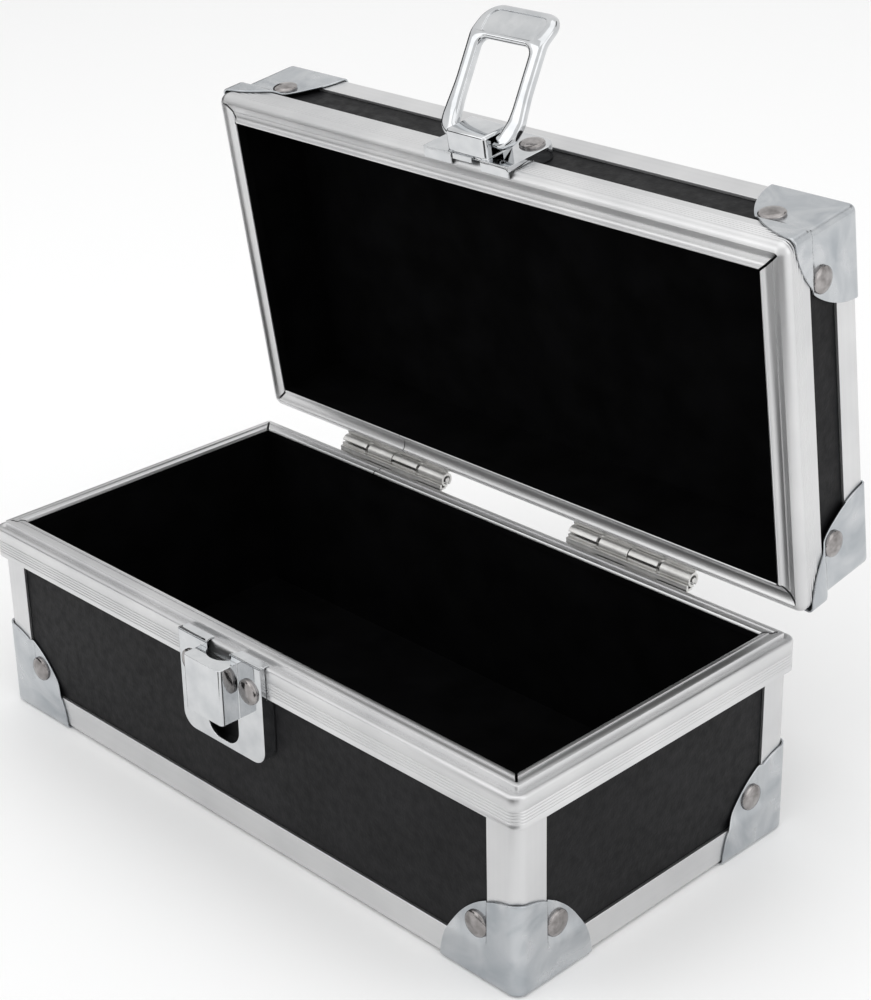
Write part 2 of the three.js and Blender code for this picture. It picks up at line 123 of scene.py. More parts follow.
# Body rim: one satin aluminium extrusion bent round the mouth. Its skirt and rounded ledge are
# one band with round corners. The raised inner tongue is notched and meets in open mitres.
mm = 0.001
rim_low, rim_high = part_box("body_rim")
half_length, half_depth = rim_high.x, rim_high.y
ledge_height = 51.1 * mm
tongue_height = rim_high.z
skirt_foot = rim_low.z
corner_radius = 2.9 * mm
least_radius = 0.3 * mm
mitre_slit = 0.85 * mm
butt_gap = 0.3 * mm


def rounded(bm, parts, radius, segments, kind="VERTICES"):
    """Rounds some corners of a flat outline, or some edges of a solid."""
    return bmesh.ops.bevel(
        bm,
        geom=parts,
        offset=radius,
        offset_type="OFFSET",
        segments=segments,
        profile=0.5,
        affect=kind,
        material=-1,
    )


def rounded_loop(bm, inset, height):
    """The edges of one level rectangle with round corners, an inset in from the skirt's face."""
    corners = bmesh.ops.create_grid(bm, x_segments=1, y_segments=1, size=1)["verts"]
    spread = (half_length - inset, half_depth - inset, 1)
    bmesh.ops.scale(bm, vec=spread, verts=corners)
    bmesh.ops.translate(bm, vec=(0, 0, height), verts=corners)
    made = rounded(bm, corners, max(corner_radius - inset, least_radius), 8)
    face = made["verts"][0].link_faces[0]
    edges = list(face.edges)
    bmesh.ops.delete(bm, geom=[face], context="FACES_ONLY")
    return edges


def bent_band(bm, section):
    """A closed section of (inset, height) points carried round the box.

    The loops are stacked well apart while they are bridged, then each is set to its height."""
    stack = 20 * mm
    loops = [rounded_loop(bm, inset, step * stack) for step, (inset, height) in enumerate(section)]
    stacked = [{vert for edge in loop for vert in edge.verts} for loop in loops]
    for one, other in zip(loops, loops[1:] + loops[:1]):
        bmesh.ops.bridge_loops(bm, edges=one + other)
    for verts, (inset, height) in zip(stacked, section):
        for vert in verts:
            vert.co.z = height


def section_bar(bm, section, rounds, run, reach, quarter, mitred=False):
    """A straight bar of a section along one side of the box; quarter counts sides from the front.

    A section point is (inset, height). rounds gives the radius of the corners that are round."""
    verts = [bm.verts.new((-run, inset - reach, height)) for inset, height in section]
    bm.faces.new(verts)
    made = set(verts)
    for at, radius in rounds.items():
        new = rounded(bm, [verts[at]], radius, 6)
        made.discard(verts[at])
        made.update(new["verts"])
    face = next(iter(made)).link_faces[0]
    far = bmesh.ops.extrude_face_region(bm, geom=[face])["geom"]
    far_verts = [part for part in far if isinstance(part, bmesh.types.BMVert)]
    bmesh.ops.translate(bm, vec=(2 * run, 0, 0), verts=far_verts)
    made.update(far_verts)
    if mitred:
        for side in (-1, 1):
            bar = geometry_of(made)
            cut = bmesh.ops.bisect_plane(
                bm,
                geom=bar,
                plane_co=(side * (run - mitre_slit / 2), -reach, 0),
                plane_no=(side, 1, 0),
                clear_outer=True,
            )
            edges = [part for part in cut["geom_cut"] if isinstance(part, bmesh.types.BMEdge)]
            made = {vert for vert in made if vert.is_valid}
            made.update(part for part in cut["geom_cut"] if isinstance(part, bmesh.types.BMVert))
            bmesh.ops.holes_fill(bm, edges=edges)
    turn = Matrix.Rotation(quarter * math.pi / 2, 4, "Z")
    bmesh.ops.transform(bm, matrix=turn, verts=list(made))


def geometry_of(verts):
    """Some vertices with the edges and faces that join them."""
    edges = {edge for vert in verts for edge in vert.link_edges}
    faces = {face for vert in verts for face in vert.link_faces}
    return list(verts) + list(edges) + list(faces)


def box_solid(low, high):
    """A bmesh of one block between two corners."""
    bm = bmesh.new()
    bmesh.ops.create_cube(bm, size=1)
    size = Vector(high) - Vector(low)
    bmesh.ops.scale(bm, vec=size, verts=bm.verts)
    bmesh.ops.translate(bm, vec=(Vector(low) + Vector(high)) / 2, verts=bm.verts)
    return bm


def add_solid(bm, other):
    """Adds another bmesh's shells to bm."""
    mesh = bpy.data.meshes.new("shells")
    other.to_mesh(mesh)
    other.free()
    bm.from_mesh(mesh)
    bpy.data.meshes.remove(mesh)


def shaped(first, second, operation):
    """The first solid with the second one joined on or cut away."""
    holders = []
    for solid in (first, second):
        mesh = bpy.data.meshes.new("solid")
        solid.to_mesh(mesh)
        solid.free()
        holders.append(bpy.data.objects.new("solid", mesh))
        bpy.context.scene.collection.objects.link(holders[-1])
    work = holders[0].modifiers.new("work", "BOOLEAN")
    work.operation = operation
    work.object = holders[1]
    work.solver = "EXACT"
    made = bmesh.new()
    made.from_object(holders[0], bpy.context.evaluated_depsgraph_get())
    for holder in holders:
        mesh = holder.data
        bpy.data.objects.remove(holder)
        bpy.data.meshes.remove(mesh)
    return made


def four_sides():
    """(side's name, quarter turn, half its run, its reach from the middle)"""
    return (
        ("front", 0, half_length, half_depth),
        ("right", 1, half_depth, half_length),
        ("back", 2, half_length, half_depth),
        ("left", 3, half_depth, half_length),
    )


def add_node(material, kind, inputs=None, **settings):
    """A shader node with its settings, and its inputs set or linked."""
    node = material.node_tree.nodes.new("ShaderNode" + kind)
    for setting, value in settings.items():
        setattr(node, setting, value)
    for socket, value in (inputs or {}).items():
        if isinstance(value, bpy.types.NodeSocket):
            material.node_tree.links.new(value, node.inputs[socket])
        else:
            node.inputs[socket].default_value = value
    return node


def link(material, source, target, socket):
    material.node_tree.links.new(source, target.inputs[socket])


def shaded_material(name, color, metallic, roughness):
    """A new material, with its shader and the coordinates of the piece it is on."""
    material = plain_material(name, color, roughness)
    shader = material.node_tree.nodes["Principled BSDF"]
    shader.inputs["Metallic"].default_value = metallic
    place = add_node(material, "TexCoord").outputs["Object"]
    return material, shader, place


def ramp(material, factor, low, high, from_low=0.3, from_high=0.7):
    """Turns a texture's range into a range of colours or of numbers."""
    kind = "FLOAT_VECTOR" if isinstance(low, tuple) else "FLOAT"
    if kind == "FLOAT":
        return add_node(
            material,
            "MapRange",
            {"Value": factor, "From Min": from_low, "From Max": from_high, "To Min": low, "To Max": high},
        ).outputs["Result"]
    mixed = add_node(material, "ValToRGB", {"Fac": factor})
    mixed.color_ramp.elements[0].position = from_low
    mixed.color_ramp.elements[1].position = from_high
    mixed.color_ramp.elements[0].color = (*low, 1)
    mixed.color_ramp.elements[1].color = (*high, 1)
    return mixed.outputs["Color"]


lid_joint = next(joint for joint in frame["joints"] if joint["name"] == "lid_hinge")
pin_place = Vector(lid_joint["pos_m"])
lid_angle = math.radians(lid_joint["range_deg"][0])
lid_opened = (
    Matrix.Translation(pin_place)
    @ Matrix.Rotation(lid_angle, 4, "X")
    @ Matrix.Translation(-pin_place)
)


def satin_aluminium(name, upright=False, on_lid=False):
    """Extruded aluminium: fine die lines run round the box, or up a post."""
    material, shader, place = shaded_material(name, (0.8, 0.8, 0.805), 1, 0.36)
    if on_lid:
        place = add_node(
            material,
            "VectorRotate",
            {"Vector": place, "Center": pin_place, "Angle": -lid_angle},
            rotation_type="X_AXIS",
        ).outputs["Vector"]
    split = add_node(material, "SeparateXYZ", {"Vector": place}).outputs
    if upright:
        lines_at = add_node(material, "VectorMath", {0: place, 1: (1, 1, 0.004)}, operation="MULTIPLY")
    else:
        insets = []
        for axis, half in (("X", half_length), ("Y", half_depth)):
            away = add_node(material, "Math", {0: split[axis]}, operation="ABSOLUTE")
            insets.append(
                add_node(material, "Math", {0: half, 1: away.outputs[0]}, operation="SUBTRACT").outputs[0]
            )
        inset = add_node(material, "Math", {0: insets[0], 1: insets[1]}, operation="MINIMUM")
        along = add_node(material, "Math", {0: split["X"], 1: split["Y"]}, operation="ADD")
        slow = add_node(material, "Math", {0: along.outputs[0], 1: 0.004}, operation="MULTIPLY")
        lines_at = add_node(
            material, "CombineXYZ", {"X": inset.outputs[0], "Y": split["Z"], "Z": slow.outputs[0]}
        )
    fine = add_node(
        material, "TexNoise", {"Vector": lines_at.outputs[0], "Scale": 5200, "Detail": 2, "Roughness": 0.6}
    ).outputs[0]
    broad = add_node(
        material, "TexNoise", {"Vector": lines_at.outputs[0], "Scale": 900, "Detail": 2, "Roughness": 0.5}
    ).outputs[0]
    cloud = add_node(material, "TexNoise", {"Vector": place, "Scale": 45, "Detail": 3}).outputs[0]
    link(material, ramp(material, cloud, (0.63, 0.632, 0.638), (0.72, 0.72, 0.722)), shader, "Base Color")
    link(material, ramp(material, broad, 0.3, 0.44), shader, "Roughness")
    both = add_node(material, "Math", {0: fine, 1: broad}, operation="ADD")
    bump = add_node(
        material, "Bump", {"Height": both.outputs[0], "Strength": 0.35, "Distance": 0.012 * mm}
    )
    link(material, bump.outputs[0], shader, "Normal")
    return material


rim_aluminium = satin_aluminium("satin_aluminium_rim")


def finish_piece(bm, name, material, body, replaced=(), place=None, crisp=32):
    """Makes a piece of a bmesh: put in its place, shaded, set on its body, and the parts it replaces hidden.
    """
    if place is not None:
        bmesh.ops.transform(bm, matrix=place, verts=bm.verts)
    mesh = bpy.data.meshes.new(name)
    bm.to_mesh(mesh)
    bm.free()
    mesh.polygons.foreach_set("use_smooth", [True] * len(mesh.polygons))
    mesh.set_sharp_from_angle(angle=math.radians(crisp))
    mesh.materials.append(material)
    piece = bpy.data.objects.new(name, mesh)
    bpy.context.scene.collection.objects.link(piece)
    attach(piece, body)
    if replaced:
        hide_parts(*replaced)
    return piece


def ribs(heights, depth, width):
    """Shallow grooves down a skirt's face, as section points from the lowest up."""
    return [
        point
        for height in heights
        for point in ((0, height - width), (depth, height), (0, height + width))
    ]


notch_from = 3.3 * mm
web_underside = 50.1 * mm
body_ribs = [(44.6 + 0.75 * step) * mm for step in range(5)]
rim_band = [
    (0.2 * mm, skirt_foot),
    (0, skirt_foot + 0.2 * mm),
    *ribs(body_ribs, 0.12 * mm, 0.2 * mm),
    (0, 50.4 * mm),
    (0.1 * mm, 50.78 * mm),
    (0.32 * mm, 51.02 * mm),
    (0.6 * mm, ledge_height),
    (1.5 * mm, ledge_height),
    (1.75 * mm, 50.95 * mm),
    (2.1 * mm, 50.92 * mm),
    (2.2 * mm, 51.2 * mm),
    (2.2 * mm, 52.15 * mm),
    (2.32 * mm, 52.4 * mm),
    (2.6 * mm, tongue_height),
    (notch_from, tongue_height),
    (notch_from, web_underside),
    (1.1 * mm, web_underside),
    (1.1 * mm, skirt_foot),
]
tongue_section = [
    (notch_from, web_underside),
    (6.1 * mm, web_underside),
    (6.1 * mm, 51.7 * mm),
    (6.02 * mm, 52.05 * mm),
    (5.8 * mm, 52.34 * mm),
    (5.45 * mm, 52.47 * mm),
    (5.1 * mm, tongue_height),
    (4.75 * mm, tongue_height),
    (4.6 * mm, 52.2 * mm),
    (3.85 * mm, 52.2 * mm),
    (3.7 * mm, tongue_height),
    (notch_from, tongue_height),
]


def rim_extrusion(band, section, butt_x):
    """A bent band with mitred inner bars, whose ends meet in a fine gap at the back."""
    bm = bmesh.new()
    bent_band(bm, band)
    bmesh.ops.recalc_face_normals(bm, faces=bm.faces)
    gap_low = (butt_x - butt_gap / 2, half_depth / 2, 0)
    gap_high = (butt_x + butt_gap / 2, half_depth * 2, 100 * mm)
    bm = shaped(bm, box_solid(gap_low, gap_high), "DIFFERENCE")
    for side, quarter, run, reach in four_sides():
        bar = bmesh.new()
        section_bar(bar, section, {}, run, reach, quarter, mitred=True)
        bmesh.ops.recalc_face_normals(bar, faces=bar.faces)
        if side == "back":
            bar = shaped(bar, box_solid(gap_low, gap_high), "DIFFERENCE")
        add_solid(bm, bar)
    return bm


body_butt = -43.4 * mm
rim = rim_extrusion(rim_band, tongue_section, body_butt)
finish_piece(rim, "body_rim_extrusion", rim_aluminium, "tray", ["body_rim"])

# Lid rim: the same kind of extrusion, turned over. Its nose rounds in to a crest, and inside
# that a cove clears the tongue, up to a thin flange that drops just inside the body's mouth.
lid_aluminium = satin_aluminium("satin_aluminium_lid", on_lid=True)
lid_seat = 52.1 * mm
lid_skirt_top = 60.2 * mm
lid_web_top = 54.5 * mm
cove_from = 2.1 * mm
lid_ribs = [(54.6 + 0.75 * step) * mm for step in range(5)]
lid_band = [
    (2 * mm, lid_seat),
    (1.45 * mm, 52.33 * mm),
    (0.85 * mm, 52.72 * mm),
    (0.38 * mm, 53.22 * mm),
    (0.1 * mm, 53.75 * mm),
    (0, 54.2 * mm),
    *ribs(lid_ribs, 0.18 * mm, 0.25 * mm),
    (0, lid_skirt_top - 0.2 * mm),
    (0.2 * mm, lid_skirt_top),
    (1.1 * mm, lid_skirt_top),
    (1.1 * mm, lid_web_top),
    (cove_from, lid_web_top),
    (cove_from, 52.35 * mm),
]
cove_section = [
    (cove_from, 52.45 * mm),
    (2.35 * mm, 52.75 * mm),
    (2.9 * mm, 53.02 * mm),
    (3.6 * mm, 53.26 * mm),
    (4.4 * mm, 53.42 * mm),
    (4.45 * mm, 53.25 * mm),
    (5.2 * mm, 53.08 * mm),
    (5.75 * mm, 52.82 * mm),
    (6.08 * mm, 52.45 * mm),
    (6.22 * mm, 52 * mm),
    (6.4 * mm, 51.8 * mm),
    (6.65 * mm, 51.8 * mm),
    (6.8 * mm, 51.95 * mm),
    (6.8 * mm, lid_web_top),
    (cove_from, lid_web_top),
]
lid_butt = -39.5 * mm
rim = rim_extrusion(lid_band, cove_section, lid_butt)
finish_piece(rim, "lid_rim_extrusion", lid_aluminium, "lid", ["lid_rim"], lid_opened)

# Corner posts: upright angle extrusions with a round outer corner, over the boards' ends.
post_aluminium = satin_aluminium("satin_aluminium_post", upright=True)
frame_inset = 1.24 * mm
frame_wall = 0.76 * mm
post_leg = 9 * mm
leg_round = 0.2 * mm
box_corners = (
    ("front_left", -1, -1),
    ("front_right", 1, -1),
    ("back_right", 1, 1),
    ("back_left", -1, 1),
)
for corner, side_x, side_y in box_corners:
    low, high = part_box("post_" + corner)
    bm = bmesh.new()
    outline = (
        (0, 0),
        (post_leg, 0),
        (post_leg, frame_wall),
        (frame_wall, frame_wall),
        (frame_wall, post_leg),
        (0, post_leg),
    )
    verts = [bm.verts.new((x, y, low.z)) for x, y in outline]
    bm.faces.new(verts)
    post_rounds = ((0, corner_radius), (3, corner_radius - frame_wall), (1, leg_round), (5, leg_round))
    for at, radius in post_rounds:
        rounded(bm, [verts[at]], radius, 8)
    raised = bmesh.ops.extrude_face_region(bm, geom=list(bm.faces))["geom"]
    top = [part for part in raised if isinstance(part, bmesh.types.BMVert)]
    bmesh.ops.translate(bm, vec=(0, 0, high.z - low.z), verts=top)
    bmesh.ops.scale(bm, vec=(-side_x, -side_y, 1), verts=bm.verts)
    outer = (side_x * (half_length - frame_inset), side_y * (half_depth - frame_inset), 0)
    bmesh.ops.translate(bm, vec=outer, verts=bm.verts)
    bmesh.ops.recalc_face_normals(bm, faces=bm.faces)
    name = "post_extrusion_" + corner
    finish_piece(bm, name, post_aluminium, "tray", ["post_" + corner])

# Edging: angle extrusions along the outer edges of the bottom and the top, under the corner caps.
edge_end = 10.54 * mm
edge_leg = 7.8 * mm
foot_gap = 0.6 * mm
lid_top = 78.1 * mm
lid_edge_leg = 7.2 * mm
edging_look = satin_aluminium("satin_aluminium_edging")
lid_edging_look = satin_aluminium("satin_aluminium_lid_edging", on_lid=True)


def edging_section(face, leg):
    """Angle section with one leg on the level face and the other down the side."""
    way = math.copysign(1, leg)
    inner = frame_inset + frame_wall
    return [
        (frame_inset, face),
        (frame_inset, face + leg),
        (inner, face + leg),
        (inner, face + way * frame_wall),
        (frame_inset + edge_leg, face + way * frame_wall),
        (frame_inset + edge_leg, face),
    ]


edging_rounds = {0: 1 * mm, 1: 0.15 * mm, 3: 0.3 * mm, 5: 0.15 * mm}
for side, quarter, run, reach in four_sides():
    bm = bmesh.new()
    section_bar(bm, edging_section(foot_gap, edge_leg), edging_rounds, run - edge_end, reach, quarter)
    bmesh.ops.recalc_face_normals(bm, faces=bm.faces)
    finish_piece(bm, "bottom_edging_" + side, edging_look, "tray", ["bottom_edge_" + side])
    bm = bmesh.new()
    section_bar(bm, edging_section(lid_top, -lid_edge_leg), edging_rounds, run - edge_end, reach, quarter)
    bmesh.ops.recalc_face_normals(bm, faces=bm.faces)
    finish_piece(
        bm, "lid_edging_" + side, lid_edging_look, "lid", ["lid_edge_" + side], lid_opened
    )

# Boards: fibreboard faced with black laminate, slightly pebbled, held in the extrusions.
board_black, shader, place = shaded_material("black_laminate", (0.007, 0.007, 0.0078), 0, 0.5)
shader.inputs["Specular IOR Level"].default_value = 0.14
pebble = add_node(
    board_black, "TexVoronoi", {"Vector": place, "Scale": 1500, "Smoothness": 0.7}, feature="SMOOTH_F1"
).outputs[0]
swell = add_node(board_black, "TexNoise", {"Vector": place, "Scale": 420, "Detail": 3}).outputs[0]
haze = add_node(board_black, "TexNoise", {"Vector": place, "Scale": 60, "Detail": 4}).outputs[0]
relief = add_node(board_black, "Math", {0: pebble, 1: swell}, operation="ADD").outputs[0]
bump = add_node(board_black, "Bump", {"Height": relief, "Strength": 0.6, "Distance": 0.05 * mm}).outputs[0]
link(board_black, bump, shader, "Normal")
hazed = ramp(board_black, haze, (0.005, 0.005, 0.0056), (0.0095, 0.0095, 0.0105))
link(board_black, hazed, shader, "Base Color")
link(board_black, ramp(board_black, swell, 0.42, 0.6), shader, "Roughness")
for name, node in frame["nodes"].items():
    if name.endswith("_panel"):
        node.data.materials.clear()
        node.data.materials.append(board_black)

# Lining: a thin flocked sheet glued over the inside of the body and of the lid. Its border is
# turned over the inner faces of the two rims.
felt, shader, place = shaded_material("black_flocking", (0.0018, 0.0018, 0.002), 0, 0.95)
shader.inputs["Specular IOR Level"].default_value = 0.04
fibres = add_node(
    felt, "TexNoise", {"Vector": place, "Scale": 6500, "Detail": 4, "Roughness": 0.7}
).outputs[0]
nap = add_node(felt, "TexNoise", {"Vector": place, "Scale": 90, "Detail": 3}).outputs[0]
link(felt, ramp(felt, nap, (0.001, 0.001, 0.0011), (0.0028, 0.0028, 0.0031)), shader, "Base Color")
bump = add_node(felt, "Bump", {"Height": fibres, "Strength": 0.7, "Distance": 0.08 * mm}).outputs[0]
link(felt, bump, shader, "Normal")
for name in ("body_lining", "lid_lining"):
    node = frame["nodes"][name]
    node.data.materials.clear()
    node.data.materials.append(felt)

border_wall = 0.12 * mm
for name, inset, foot, head, body, place in (
    ("body_lining_border", 6.1 * mm, web_underside, 51.7 * mm, "tray", None),
    ("lid_lining_border", 6.8 * mm, 52.05 * mm, lid_web_top, "lid", lid_opened),
):
    bm = bmesh.new()
    far = inset + border_wall
    bent_band(bm, [(inset, foot), (inset, head), (far, head), (far, foot)])
    bmesh.ops.recalc_face_normals(bm, faces=bm.faces)
    finish_piece(bm, name, felt, body, (), place)

# Corner caps: pressed zinc-plated steel over each outer corner. Each side wall is struck in
# round its rivet, so that the rivet draws it down on to the board.
cap_reach = 23.6 * mm
cap_wall = 0.5 * mm
cap_curve = 1.85
cap_grid = 44

cap_steel, shader, place = shaded_material("zinc_plated_steel", (0.64, 0.665, 0.69), 1, 0.25)
marble = add_node(
    cap_steel, "TexNoise", {"Vector": place, "Scale": 85, "Detail": 4, "Roughness": 0.5, "Distortion": 1.2}
).outputs[0]
grain = add_node(cap_steel, "TexNoise", {"Vector": place, "Scale": 2600, "Detail": 3}).outputs[0]
link(cap_steel, ramp(cap_steel, marble, (0.4, 0.425, 0.45), (0.6, 0.615, 0.63)), shader, "Base Color")
link(cap_steel, ramp(cap_steel, marble, 0.2, 0.29), shader, "Roughness")
bump = add_node(cap_steel, "Bump", {"Height": grain, "Strength": 0.12, "Distance": 0.015 * mm}).outputs[0]
waves = add_node(
    cap_steel, "Bump", {"Height": marble, "Strength": 0.25, "Distance": 0.12 * mm, "Normal": bump}
).outputs[0]
link(cap_steel, waves, shader, "Normal")


def smooth_step(value, low, high):
    share = min(max((value - low) / (high - low), 0), 1)
    return share * share * (3 - 2 * share)


cap_rivet_up = 13.6 * mm
body_rivet_across = 12.9 * mm
lid_rivet_across = 13.8 * mm
post_step = 0.85 * mm
dish_depth = 0.15 * mm
lid_draw = 1.2 * mm


def struck_over_post(across, up):
    """The body caps' side walls step down beside the post."""
    beside = smooth_step(across, 9.2 * mm, 10 * mm)
    return post_step * beside * smooth_step(up, 8 * mm, 12.5 * mm)


def struck_round_rivet(across, up):
    """The lid caps' side walls are dished a little round the rivet."""
    away = math.hypot(across - lid_rivet_across, up - cap_rivet_up)
    return dish_depth * (1 - smooth_step(away, 3 * mm, 6.5 * mm))


def lies_on_edging(up):
    """How far a lid cap's walls are drawn in, to lie on the edging below the skirt."""
    return lid_draw * (1 - smooth_step(up, 16 * mm, 18.4 * mm))


def rounded_in(spot, upright_round, level_round):
    """Draws a point on one of the cap's outer faces in to its rounded corner and edges."""
    if max(spot.x, spot.y) < upright_round:
        out = Vector((spot.x - upright_round, spot.y - upright_round))
        reach = upright_round - min(spot.x, spot.y)
        inward = -out.normalized() if out.length else Vector((1, 1)).normalized()
        spot.xy = Vector((upright_round, upright_round)) - inward * reach
        depth = upright_round - reach
    else:
        inward = Vector((1, 0)) if spot.x < spot.y else Vector((0, 1))
        depth = min(spot.x, spot.y)
    if depth < level_round and spot.z < level_round:
        out = Vector((level_round - depth, level_round - spot.z))
        drawn = Vector((level_round, level_round)) - out.normalized() * level_round
        spot.xy += inward * (drawn.x - depth)
        spot.z = drawn.y
    return spot


def corner_cap(name, outer, ways, rounds, struck, drawn, body, node, place=None):
    """One cap; outer is where its three outer faces meet, and ways point along its edges."""
    bm = bmesh.new()
    bmesh.ops.create_cube(bm, size=1)
    bmesh.ops.translate(bm, vec=(0.5, 0.5, 0.5), verts=bm.verts)
    far = [face for face in bm.faces if max(face.normal) > 0.5]
    bmesh.ops.delete(bm, geom=far, context="FACES")
    bmesh.ops.subdivide_edges(bm, edges=bm.edges, cuts=cap_grid - 1, use_grid_fill=True)
    for vert in bm.verts:
        # Each face's square grid is drawn in to the cap's curved outline.
        flat = min(range(3), key=lambda axis: vert.co[axis])
        first, second = [axis for axis in range(3) if axis != flat]
        u, v = vert.co[first], vert.co[second]
        ring = max(u, v)
        if ring > 0:
            angle = math.pi / 4 * (v / u if u >= v else 2 - u / v)
            power = 2 / cap_curve
            across = cap_reach * ring * max(math.cos(angle), 0) ** power
            up = cap_reach * ring * math.sin(angle) ** power
        else:
            across = up = 0
        vert.co[first], vert.co[second] = across, up
        vert.co = rounded_in(vert.co.copy(), *rounds)
        if flat != 2:
            vert.co[flat] += struck(across, up)
        for axis in (0, 1):
            vert.co[axis] += drawn(vert.co.z) * max(1 - vert.co[axis] / cap_reach, 0)
    scale = Vector(ways)
    bmesh.ops.scale(bm, vec=scale, verts=bm.verts)
    if scale.x * scale.y * scale.z < 0:
        bmesh.ops.reverse_faces(bm, faces=bm.faces)
    bmesh.ops.translate(bm, vec=outer, verts=bm.verts)
    cap = finish_piece(bm, name, cap_steel, body, [node], place, crisp=75)
    wall = cap.modifiers.new("wall", "SOLIDIFY")
    wall.thickness = cap_wall
    wall.offset = -1
    rim = cap.modifiers.new("rim", "BEVEL")
    rim.width = 0.14 * mm
    rim.segments = 2
    rim.limit_method = "ANGLE"
    rim.angle_limit = math.radians(75)
    return cap


body_cap_out = 0.64 * mm
body_cap_rounds = (3.1 * mm, 1.3 * mm)
lid_cap_rounds = (1.9 * mm, 1.5 * mm)
lid_cap_proud = 0.65 * mm
for corner, side_x, side_y in box_corners:
    low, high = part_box("bottom_cap_" + corner)
    outer = (side_x * (half_length - body_cap_out), side_y * (half_depth - body_cap_out), low.z)
    ways = (-side_x, -side_y, 1)
    name = "bottom_cap_pressing_" + corner
    node = "bottom_cap_" + corner
    corner_cap(name, outer, ways, body_cap_rounds, struck_over_post, lambda up: 0, "tray", node)
    reach_x, reach_y = half_length + lid_cap_proud, half_depth + lid_cap_proud
    outer = (side_x * reach_x, side_y * reach_y, lid_top + foot_gap)
    ways = (-side_x, -side_y, -1)
    name = "lid_cap_pressing_" + corner
    node = "lid_cap_" + corner
    looks = (lid_cap_rounds, struck_round_rivet, lies_on_edging)
    corner_cap(name, outer, ways, *looks, "lid", node, lid_opened)

# Rivets: dark nickel-plated steel with low domed heads, set from outside. Two hold each corner
# cap, and the others hold the keeper, the latch base and the hinge leaves.
rivet_nickel, shader, place = shaded_material("dark_nickel", (0.36, 0.34, 0.335), 1, 0.16)
stain = add_node(rivet_nickel, "TexNoise", {"Vector": place, "Scale": 480, "Detail": 4}).outputs[0]
pits = add_node(rivet_nickel, "TexNoise", {"Vector": place, "Scale": 2400, "Detail": 2}).outputs[0]
link(rivet_nickel, ramp(rivet_nickel, stain, (0.2, 0.187, 0.182), (0.42, 0.4, 0.395)), shader, "Base Color")
link(rivet_nickel, ramp(rivet_nickel, stain, 0.1, 0.22), shader, "Roughness")
bump = add_node(rivet_nickel, "Bump", {"Height": pits, "Strength": 0.25, "Distance": 0.04 * mm}).outputs[0]
link(rivet_nickel, bump, shader, "Normal")
head_height = 1.2 * mm
head_rim = 0.3 * mm


def rivet_head(name, seat, facing, radius, body, replaced=(), place=None):
    """A domed head on a surface point, facing outwards."""
    bm = bmesh.new()
    bmesh.ops.create_uvsphere(bm, u_segments=32, v_segments=18, radius=1)
    bmesh.ops.bisect_plane(
        bm, geom=geometry_of(bm.verts), plane_co=(0, 0, 0), plane_no=(0, 0, -1), clear_outer=True
    )
    bmesh.ops.scale(bm, vec=(radius, radius, head_height - head_rim), verts=bm.verts)
    bmesh.ops.translate(bm, vec=(0, 0, head_rim), verts=bm.verts)
    border = [edge for edge in bm.edges if edge.is_boundary]
    skirt = bmesh.ops.extrude_edge_only(bm, edges=border)["geom"]
    foot = [part for part in skirt if isinstance(part, bmesh.types.BMVert)]
    bmesh.ops.scale(bm, vec=(0.96, 0.96, 1), verts=foot)
    bmesh.ops.translate(bm, vec=(0, 0, -head_rim - 0.1 * mm), verts=foot)
    bmesh.ops.holes_fill(bm, edges=[edge for edge in bm.edges if edge.is_boundary])
    bmesh.ops.recalc_face_normals(bm, faces=bm.faces)
    turn = Vector(facing).to_track_quat("Z", "Y").to_matrix().to_4x4()
    bmesh.ops.transform(bm, matrix=Matrix.Translation(seat) @ turn, verts=bm.verts)
    finish_piece(bm, name, rivet_nickel, body, replaced, place, crisp=50)


cap_rivet = 3.25 * mm
lid_rivet_height = lid_top + foot_gap - cap_rivet_up
lid_sink = lies_on_edging(cap_rivet_up) + dish_depth / 3
for corner, side_x, side_y in box_corners:
    for level, out, across, sink, height, body, place in (
        ("bottom", -body_cap_out, body_rivet_across, post_step, cap_rivet_up, "tray", None),
        ("lid", lid_cap_proud, lid_rivet_across, lid_sink, lid_rivet_height, "lid", lid_opened),
    ):
        reach_x, reach_y = half_length + out, half_depth + out
        at_end = (side_x * (reach_x - sink), side_y * (reach_y - across), height)
        at_side = (side_x * (reach_x - across), side_y * (reach_y - sink), height)
        name = f"{level}_cap_rivet_{corner}"
        rivet_head(name + "_end", at_end, (side_x, 0, 0), cap_rivet, body, (), place)
        rivet_head(name + "_side", at_side, (0, side_y, 0), cap_rivet, body, (), place)

plate_face = -half_depth - 1.6 * mm
leaf_face = half_depth + 0.9 * mm
keeper_rivet_x, keeper_rivet_z = 10.3 * mm, 44 * mm
latch_rivet_x, latch_rivet_z = 9.6 * mm, lid_seat + 12.8 * mm
hinge_centres = (-43.8 * mm, 40.2 * mm)
hinge_rivet_spread = 11 * mm
latch_rivet = 3.2 * mm
hinge_rivet = 2.6 * mm
body_leaf_rivet_z = 47.4 * mm
lid_leaf_rivet_z = 58.4 * mm
for number, side_x in ((1, -1), (2, 1)):
    seat = (side_x * keeper_rivet_x, plate_face, keeper_rivet_z)
    name, node = f"keeper_rivet_head_{number}", f"keeper_rivet_{number}"
    rivet_head(name, seat, (0, -1, 0), latch_rivet, "tray", [node])
    seat = (side_x * latch_rivet_x, plate_face, latch_rivet_z)
    name, node = f"latch_rivet_head_{number}", f"latch_rivet_{number}"
    rivet_head(name, seat, (0, -1, 0), latch_rivet, "lid", [node], lid_opened)
hinge_places = [centre + way * hinge_rivet_spread for centre in hinge_centres for way in (-1, 1)]
